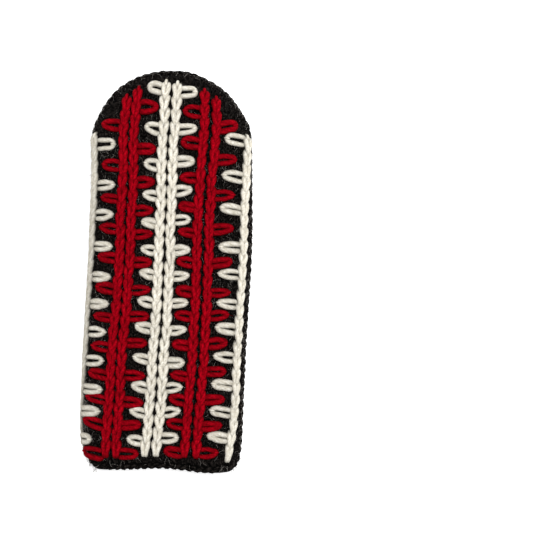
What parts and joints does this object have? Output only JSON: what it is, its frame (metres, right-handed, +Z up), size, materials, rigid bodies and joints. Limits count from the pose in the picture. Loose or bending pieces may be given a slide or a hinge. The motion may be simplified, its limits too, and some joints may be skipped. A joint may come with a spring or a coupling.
{
  "type": "knitted mitten",
  "caption": "Hand-knitted wool mitten lying flat on its palm, closed rounded tip, open cuff, lengthwise chain-stitch embroidery with sideways loops on the back, palm thumb underneath",
  "frame": {"origin": "on the floor under the middle of the mitten's bounding box, the mitten lying on its palm", "axes": "+Y from the cuff to the fingertips, +Z up out of the back of the hand, +X towards the thumb's side"},
  "size_m": [0.1116, 0.2598, 0.0288],
  "materials": {
    "black_wool": "fuzzy knitted wool",
    "red_yarn": "thick plied wool yarn",
    "white_yarn": "thick plied wool yarn"
  },
  "bodies": {
    "root": {"hand": "black_wool", "thumb": "black_wool", "cuff_edge": "black_wool", "white_chain_left_side": "white_yarn", "red_chain_left_outer": "red_yarn", "red_chain_left_inner": "red_yarn", "white_chain_center_left": "white_yarn", "white_chain_center_right": "white_yarn", "red_chain_right_inner": "red_yarn", "red_chain_right_outer": "red_yarn", "white_chain_right_side": "white_yarn"}
  },
  "joints": []
}
